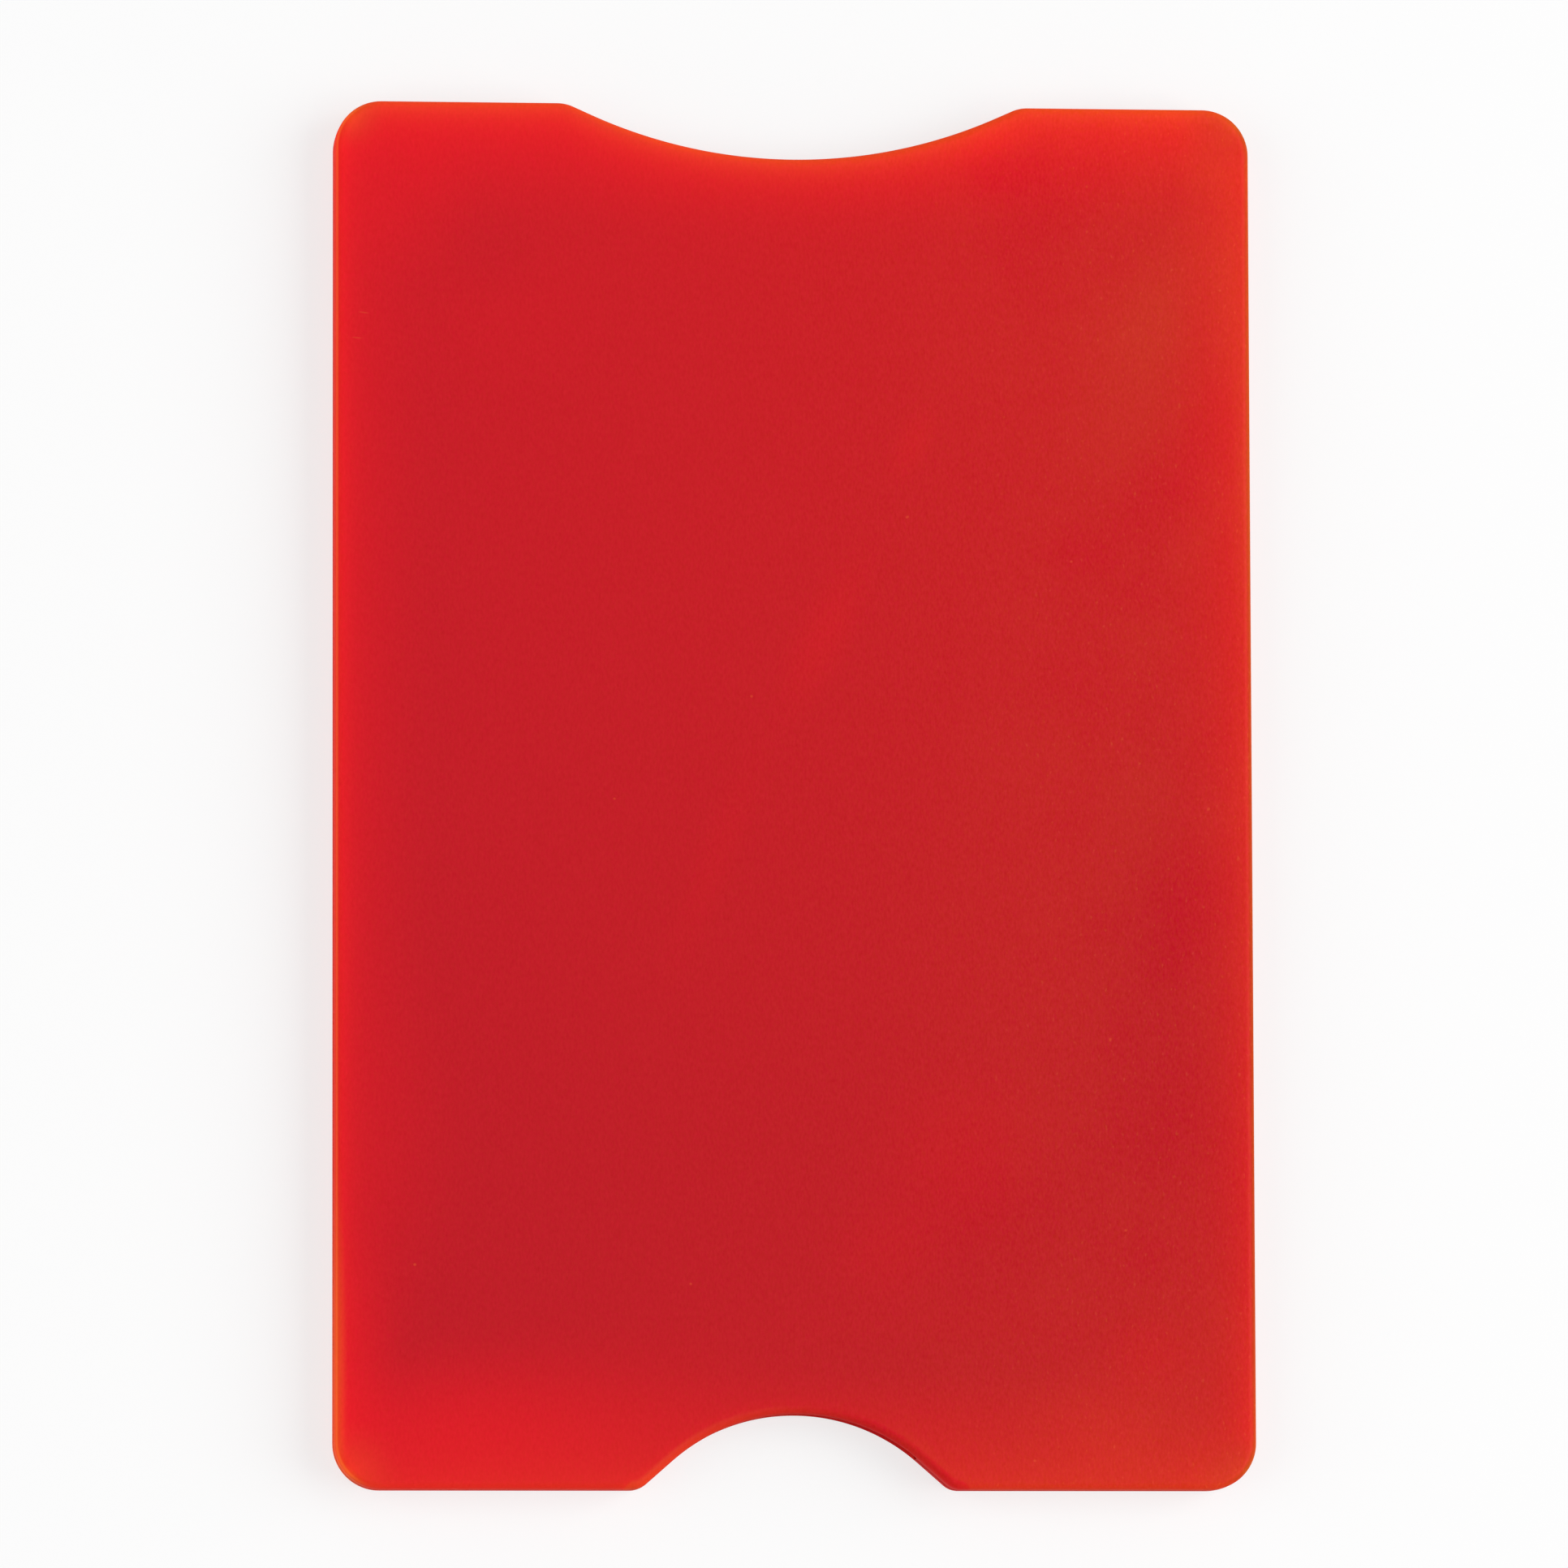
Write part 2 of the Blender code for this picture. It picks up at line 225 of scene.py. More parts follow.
# The two shells, with the CAD's own sizes in mm
case = {
    "width": 59.0,
    "length": 89.0,
    "thickness": 3.4,
    "wall": 1.0,
    "railWidth": 2.0,
    "stopWidth": 2.0,
    "cornerRadius": 3.0,
    "pocketCorner": 2.0,
    "faceRound": 0.5,
    "draft": 1.0,  # degrees
    "reveal": 0.15,
    "weldGap": 0.04,
    "edgeBreak": 0.06,  # along the rails' and stops' inner edge
    "mouthNotch": {"width": 29.3, "depth": 3.5, "shoulder": 2.5, "flankShare": 0.20},
    "thumbNotch": {"width": 20.0, "depth": 4.8, "shoulder": 1.4, "flankShare": 0.38},
    "flare": {"length": 3.0, "width": 0.5},
    "grip": {"length": 9.0, "height": 0.45, "fromMouth": 20.0},
    "leadIn": {"width": 0.55, "depth": 0.35, "fade": 0.5},
    "tongue": {"width": 0.6, "height": 0.4, "chamfer": 0.12, "fade": 0.3},
    "groove": {"sideClearance": 0.05, "floorClearance": 0.08},
    "foil": {"halfWidth": 26.6, "bottom": -37.4, "top": 39.7, "corner": 1.5},
    "recess": {"clearance": 0.15, "depth": 0.21},  # round the foil
    # points on each run of the outline, and rings on the faces and walls
    "points": {"notch": 44, "flank": 6, "shoulder": 12, "edge": 14, "corner": 20, "side": 120},
    "rings": {"face": 14, "round": 14, "besideRound": (0.5, 0.8), "pocketFloor": (0.3, 0.65, 1.0)},
    "ringHeights": {"outerWall": 0.75, "innerWall": 1.25},
    "spineReach": 15.0,  # half the line in the middle of each face that its rings close on
    "thumbReach": 0.6,  # the thumb notch's colours go this far past its half width
    "lineParts": 12,  # distances are worked out for this many parts of the outline, one after another
    "mergeWithin": 0.001,
    "dissolveWithin": 0.0001,
    "sharpFrom": 28,  # degrees
}


# A notch is an arc that passes smoothly into straight flanks, which rise through flankShare of its depth.
# With w = half width / depth and s = flankShare: tan(slope / 2) = (sqrt(w² + s (2 - s)) - w) / s, and
# the arc's radius = (1 - s) depth / (1 - cos(slope)). This gives the radius and the slope.
def notchShape(notch):
    share = notch["flankShare"]
    slim = notch["width"] / 2 / notch["depth"]
    halfTangent = (math.sqrt(slim**2 + share * (2 - share)) - slim) / share
    slope = 2 * math.atan(halfTangent)
    return (1 - share) * notch["depth"] / (1 - math.cos(slope)), slope


# Points centre + radius (cos a, sin a) with the angle a in even steps, and the unit way into the plastic at
# each. inwards is 1 where that way leads off the centre and -1 where it leads to it.
def arcRun(centre, radius, start, end, count, inwards):
    angle = np.linspace(start, end, count + 1)
    way = np.stack([np.cos(angle), np.sin(angle)], 1)
    return np.array(centre) + radius * way, inwards * way


# The runs of the case's outline, from the middle of the thumb notch round the right half to the middle of the
# mouth notch. Arcs and straights take turns.
outlineRuns = (
    "thumbArc",
    "thumbFlank",
    "thumbShoulder",
    "stopEdge",
    "stopCorner",
    "side",
    "mouthCorner",
    "mouthEdge",
    "mouthShoulder",
    "mouthFlank",
    "mouthArc",
)


# The outline's right half: points, the way into the plastic and the number of the run that each point is on
def halfOutline():
    halfWidth, halfLength = case["width"] / 2, case["length"] / 2
    radius, points = case["cornerRadius"], case["points"]
    quarter = math.pi / 2
    arcs = []
    thumb = case["thumbNotch"]
    thumbRadius, slope = notchShape(thumb)
    shoulder = thumb["shoulder"]
    middle = (0, -halfLength + thumb["depth"] - thumbRadius)
    arcs.append(arcRun(middle, thumbRadius, quarter, quarter - slope, points["notch"], 1))
    middle = (thumb["width"] / 2 + shoulder * math.tan(slope / 2), -halfLength + shoulder)
    arcs.append(arcRun(middle, shoulder, -quarter - slope, -quarter, points["shoulder"], -1))
    middle = (halfWidth - radius, -halfLength + radius)
    arcs.append(arcRun(middle, radius, -quarter, 0, points["corner"], -1))
    middle = (halfWidth - radius, halfLength - radius)
    arcs.append(arcRun(middle, radius, 0, quarter, points["corner"], -1))
    mouth = case["mouthNotch"]
    mouthRadius, slope = notchShape(mouth)
    shoulder = mouth["shoulder"]
    middle = (mouth["width"] / 2 + shoulder * math.tan(slope / 2), halfLength - shoulder)
    arcs.append(arcRun(middle, shoulder, quarter, quarter + slope, points["shoulder"], -1))
    middle = (0, halfLength - mouth["depth"] + mouthRadius)
    arcs.append(arcRun(middle, mouthRadius, slope - quarter, -quarter, points["notch"], 1))
    counts = [points[k] for k in ("flank", "edge", "side", "edge", "flank")]
    line, ways, runs = [arcs[0][0]], [arcs[0][1]], [np.zeros(len(arcs[0][0]), int)]
    for k, (count, arc) in enumerate(zip(counts, arcs[1:])):
        share = np.linspace(0, 1, count + 1)[1:-1, None]
        line += [line[-1][-1] * (1 - share) + arc[0][0] * share, arc[0]]
        ways += [np.repeat(arc[1][:1], count - 1, 0), arc[1]]
        runs += [np.full(count - 1, 2 * k + 1), np.full(len(arc[0]), 2 * k + 2)]
    return np.concatenate(line), np.concatenate(ways), np.concatenate(runs)


# Half the pocket's width at the place y along the case: half the case less the rail, less the grip's
# swelling, which is an arc of the grip's length and height, plus the flare, which grows evenly to the mouth
def pocketSide(y):
    halfLength = case["length"] / 2
    fromGrip = np.abs(y - halfLength + case["grip"]["fromMouth"])
    half, rise = case["grip"]["length"] / 2, case["grip"]["height"]
    radius = (half**2 + rise**2) / (2 * rise)
    swell = np.sqrt(np.maximum(radius**2 - fromGrip**2, 0)) - (radius - rise)
    flare = case["flare"]["width"] * (y - halfLength + case["flare"]["length"]) / case["flare"]["length"]
    return case["width"] / 2 - case["railWidth"] - np.maximum(swell, 0) + np.maximum(flare, 0)


# The foil's outline, moved outwards by a clearance
def grown(box, clearance):
    return {
        "halfWidth": box["halfWidth"] + clearance,
        "bottom": box["bottom"] - clearance,
        "top": box["top"] + clearance,
        "corner": box["corner"] + clearance,
    }


# What lies as far between toLow and toHigh as the value does between low and high
def stretch(value, low, high, toLow, toHigh):
    return toLow + (value - low) * (toHigh - toLow) / (high - low)


# One column of the shell for each point of the outline: where the outer wall stands, the way inwards, where
# the rail ends at the pocket, the recess's edge and the face's middle line. A column is railed where the
# outline lies outside the pocket. Where that changes, at a cliff, there are two columns in one place.
def shellColumns():
    points, ways, runs = halfOutline()
    recess, corner = grown(case["foil"], case["recess"]["clearance"]), case["pocketCorner"]
    halfLength = case["length"] / 2
    stopLine = -halfLength + case["stopWidth"]
    outside = np.maximum(stopLine - points[:, 1], points[:, 0] - pocketSide(points[:, 1]))
    cliff = np.zeros(len(points), bool)
    for k in reversed(np.nonzero(np.diff(np.sign(outside)))[0]):
        share = outside[k] / (outside[k] - outside[k + 1])
        point = points[k] * (1 - share) + points[k + 1] * share
        way = ways[k] * (1 - share) + ways[k + 1] * share
        points = np.insert(points, k + 1, [point, point], 0)
        ways = np.insert(ways, k + 1, [way, way], 0)
        runs = np.insert(runs, k + 1, [runs[k], runs[k]])
        outside = np.insert(outside, k + 1, outside[[k, k + 1]])
        cliff = np.insert(cliff, k + 1, [True, True])
    railed = outside > 0
    x, y = points.T
    cornerX = case["width"] / 2 - case["cornerRadius"]
    cornerY = halfLength - case["cornerRadius"]
    innerX = case["width"] / 2 - case["railWidth"] - corner
    innerY = stopLine + corner
    edgeX = recess["halfWidth"] - recess["corner"]
    lowY, highY = recess["bottom"] + recess["corner"], recess["top"] - recess["corner"]
    outwards = -ways
    number = {name: k for k, name in enumerate(outlineRuns)}
    bottom, top = runs <= number["stopEdge"], runs >= number["mouthEdge"]
    stopCorner, side, mouthCorner = (runs == number[k] for k in ("stopCorner", "side", "mouthCorner"))
    startX = x[cliff][0]
    sideY = stretch(y, -cornerY, cornerY, innerY, cornerY)
    rail = np.stack([pocketSide(y), y], 1)
    alongStop = stretch(x, startX, cornerX, startX, innerX)
    rail[bottom] = np.stack([alongStop, np.full(len(x), stopLine)], 1)[bottom]
    rail[stopCorner] = (np.array([innerX, innerY]) + corner * outwards)[stopCorner]
    rail[side] = np.stack([pocketSide(sideY), sideY], 1)[side]
    edge = np.stack([np.full(len(x), recess["halfWidth"]), stretch(y, -cornerY, cornerY, lowY, highY)], 1)
    edge[bottom] = np.stack([x * edgeX / cornerX, np.full(len(x), recess["bottom"])], 1)[bottom]
    edge[top] = np.stack([x * edgeX / cornerX, np.full(len(x), recess["top"])], 1)[top]
    edge[stopCorner] = (np.array([edgeX, lowY]) + recess["corner"] * outwards)[stopCorner]
    edge[mouthCorner] = (np.array([edgeX, highY]) + recess["corner"] * outwards)[mouthCorner]
    run = np.concatenate([[0], np.cumsum(np.linalg.norm(np.diff(points, axis=0), axis=1))])
    fromCliff = np.min(np.abs(run[:, None] - run[cliff][None, ::2]), 1)
    leadIn = np.clip(fromCliff / case["leadIn"]["fade"], 0, 1) * ~railed
    weldStart, weldEnd = run[runs == number["stopEdge"]][0], run[side][-1]
    inWeld = np.clip(np.minimum(run - weldStart, weldEnd - run) / case["tongue"]["fade"], 0, 1)
    spine = np.stack([np.zeros(len(x)), np.clip(y, -case["spineReach"], case["spineReach"])], 1)
    columns = {
        "point": points,
        "way": ways,
        "rail": rail,
        "edge": edge,
        "spine": spine,
        "railed": railed,
        "cliff": cliff,
        "leadIn": leadIn,
        "weld": inWeld * railed,
    }
    return {name: mirroredColumns(values) for name, values in columns.items()}


# The right half's columns and then the left half's, without the two middle ones a second time
def mirroredColumns(values):
    other = values[::-1][1:-1].copy()
    if other.ndim == 2:
        other[:, 0] *= -1
    return np.concatenate([values, other])


# Rings of the shell from the middle of its outer face, round the edge, up the wall, over the weld and the
# pocket's floor into the recess. Each is a closed line of (x, y) with a height above the outer face. The
# rounded edge is a quarter turn: height = radius (1 - cos a) and inset = radius (1 - sin a). The wall leans
# in by the draft.
def shellRings(side):
    columns = shellColumns()
    point, way, rail, spine = (columns[k] for k in ("point", "way", "rail", "spine"))
    railed = columns["railed"]
    rounds, heights, wall = case["rings"], case["ringHeights"], case["wall"]
    lean = math.tan(math.radians(case["draft"]))
    top = case["thickness"] / 2 - case["weldGap"] / 2 - case["reveal"]
    radius = case["faceRound"]
    count = len(point)
    rings = []

    def addRing(place, height):
        rings.append((place, np.broadcast_to(height, count)))

    def wallPlace(height):
        return point + way * (lean * (top - height))[:, None]

    flat = point + way * (radius + lean * top)
    inner = flat + way * radius
    for share in np.linspace(0, 1, rounds["face"] + 1):
        addRing(spine * (1 - share) + inner * share, 0.0)
    for share in rounds["besideRound"]:
        addRing(inner * (1 - share) + flat * share, 0.0)
    for angle in np.linspace(0, math.pi / 2, rounds["round"] + 1):
        height = np.full(count, radius * (1 - math.cos(angle)))
        addRing(wallPlace(height) + way * radius * (1 - math.sin(angle)), height)
    leadIn = columns["leadIn"]
    openTop = wall - case["leadIn"]["depth"] * leadIn
    for railHeight, share in ((heights["outerWall"], 0.5), (wall, 1), (heights["innerWall"], 1), (top, 1)):
        height = np.where(railed, railHeight, radius + (openTop - radius) * share)
        addRing(wallPlace(height), height)
    openEnd = wallPlace(np.full(count, wall)) + way * (case["leadIn"]["width"] * leadIn)[:, None]
    across = rail - point
    width = np.linalg.norm(across, axis=1)
    across = across / np.maximum(width, case["mergeWithin"])[:, None]
    crest = top + np.minimum(case["reveal"], width)

    def addWeldRing(inset, height):
        place = point + across * np.minimum(inset, width)[:, None]
        addRing(np.where(railed[:, None], place, openEnd), np.where(railed, height, wall))

    tongue, groove = case["tongue"], case["groove"]
    middle, half, chamfer = case["railWidth"] / 2, tongue["width"] / 2, tongue["chamfer"]
    if side == "front":
        depth = tongue["height"] + case["weldGap"]
        turned = depth - chamfer
    else:
        half += groove["sideClearance"]
        depth = -tongue["height"] - groove["floorClearance"]
        turned = depth + chamfer
    weld = columns["weld"]
    addWeldRing(case["reveal"], crest)
    addWeldRing(middle - half, crest)
    addWeldRing(middle - half, crest + turned * weld)
    addWeldRing(middle - half + chamfer, crest + depth * weld)
    addWeldRing(middle + half - chamfer, crest + depth * weld)
    addWeldRing(middle + half, crest + turned * weld)
    addWeldRing(middle + half, crest)
    softened = np.minimum(case["edgeBreak"], width / 2)
    addWeldRing(width - softened, crest)
    for height in (crest - softened, np.full(count, heights["innerWall"]), np.full(count, wall)):
        place = np.where(columns["cliff"][:, None], wallPlace(height), rail)
        addRing(np.where(railed[:, None], place, openEnd), np.where(railed, height, wall))
    floor, edge = rings[-1][0], columns["edge"]
    for share in rounds["pocketFloor"]:
        addRing(floor * (1 - share) + edge * share, wall)
    for share in np.linspace(0, 1, rounds["face"] + 1):
        addRing(edge * (1 - share) + spine * share, wall - case["recess"]["depth"])
    return rings, columns


# How far a point lies outside a rectangle with round corners, below zero inside it.
# With over = |point - middle| - half size + corner, the distance is
# length(max(over, 0)) + min(max(over x, over y), 0) - corner.
def outsideBox(x, y, box):
    overX = np.abs(x) - box["halfWidth"] + box["corner"]
    overY = np.abs(y - (box["bottom"] + box["top"]) / 2) - (box["top"] - box["bottom"]) / 2 + box["corner"]
    beyond = np.hypot(np.maximum(overX, 0), np.maximum(overY, 0))
    return beyond + np.minimum(np.maximum(overX, overY), 0) - box["corner"]


# Distance from every point to the nearest point of a line: the least of sqrt(dx² + dy²)
def nearest(x, y, line):
    found = np.full(len(x), np.inf)
    for part in np.array_split(line, case["lineParts"]):  # so that the arrays stay small
        found = np.minimum(found, np.hypot(x[:, None] - part[:, 0], y[:, None] - part[:, 1]).min(1))
    return found


# Where each point lies, in mm, for the plastic's colour. The outline's parts meet half way round the corners.
# facesRight is how far the nearest wall looks to the right: 1 at the right rail, -1 at the left one and 0 at
# the ends.
def edgePlaces(x, y, columns, levels):
    outline = columns["point"]
    across, along = outline.T
    corner = case["width"] / 2 - case["cornerRadius"] * (1 - math.cos(math.pi / 4))
    atThumb = (along < 0) & (np.abs(across) < case["thumbNotch"]["width"] / 2 + case["thumbReach"])
    atSide = np.abs(across) > case["width"] / 2 - case["cornerRadius"]
    return {
        "fromRim": nearest(x, y, outline),
        "fromMouth": nearest(x, y, outline[(along > 0) & (np.abs(across) <= corner)]),
        "fromThumb": nearest(x, y, outline[atThumb]),
        "fromLeft": nearest(x, y, outline[across < -corner]),
        "fromRight": nearest(x, y, outline[across > corner]),
        "facesRight": np.tile(-columns["way"][:, 0] * atSide, levels),
        "pastFoil": outsideBox(x, y, case["foil"]),
    }


# The rings' columns are joined by one quad from each point to the next on its ring and on the ring after it
def makeShell(side, material):
    rings, columns = shellRings(side)
    count, levels = len(columns["point"]), len(rings)
    x, y = np.concatenate([place for place, height in rings]).T
    height = np.concatenate([height for place, height in rings])
    isFront = side == "front"
    z = case["thickness"] - height if isFront else height
    level, column = np.meshgrid(np.arange(levels - 1), np.arange(count), indexing="ij")
    first, second = level * count + column, level * count + (column + 1) % count
    faces = np.stack([first, second, second + count, first + count], -1)
    atCliff = columns["cliff"] & np.roll(columns["cliff"], -1)
    faces = faces[:, ~atCliff].reshape(-1, 4)
    if isFront:
        faces = faces[:, ::-1]
    mesh = bpy.data.meshes.new(side + "Shell")
    mesh.from_pydata((np.stack([x, y, z], 1) * mm).tolist(), [], faces.tolist())
    for name, values in edgePlaces(x, y, columns, levels).items():
        mesh.attributes.new(name, "FLOAT", "POINT").data.foreach_set("value", values.astype(np.float32))
    build = bmesh.new()
    build.from_mesh(mesh)
    bmesh.ops.remove_doubles(build, verts=build.verts, dist=case["mergeWithin"] * mm)
    bmesh.ops.dissolve_degenerate(build, edges=build.edges, dist=case["dissolveWithin"] * mm)
    bmesh.ops.recalc_face_normals(build, faces=build.faces)
    loose = [edge for edge in build.edges if len(edge.link_faces) != 2]
    build.to_mesh(mesh)
    build.free()
    mesh.shade_smooth()
    mesh.set_sharp_from_angle(angle=math.radians(case["sharpFrom"]))
    mesh.materials.append(material)
    shell = bpy.data.objects.new(side + "Shell", mesh)
    scene.collection.objects.link(shell)
    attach(shell, "root")
    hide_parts(side + "_shell")
    print(side, "shell made:", len(mesh.polygons), "faces,", len(loose), "edges not closed")


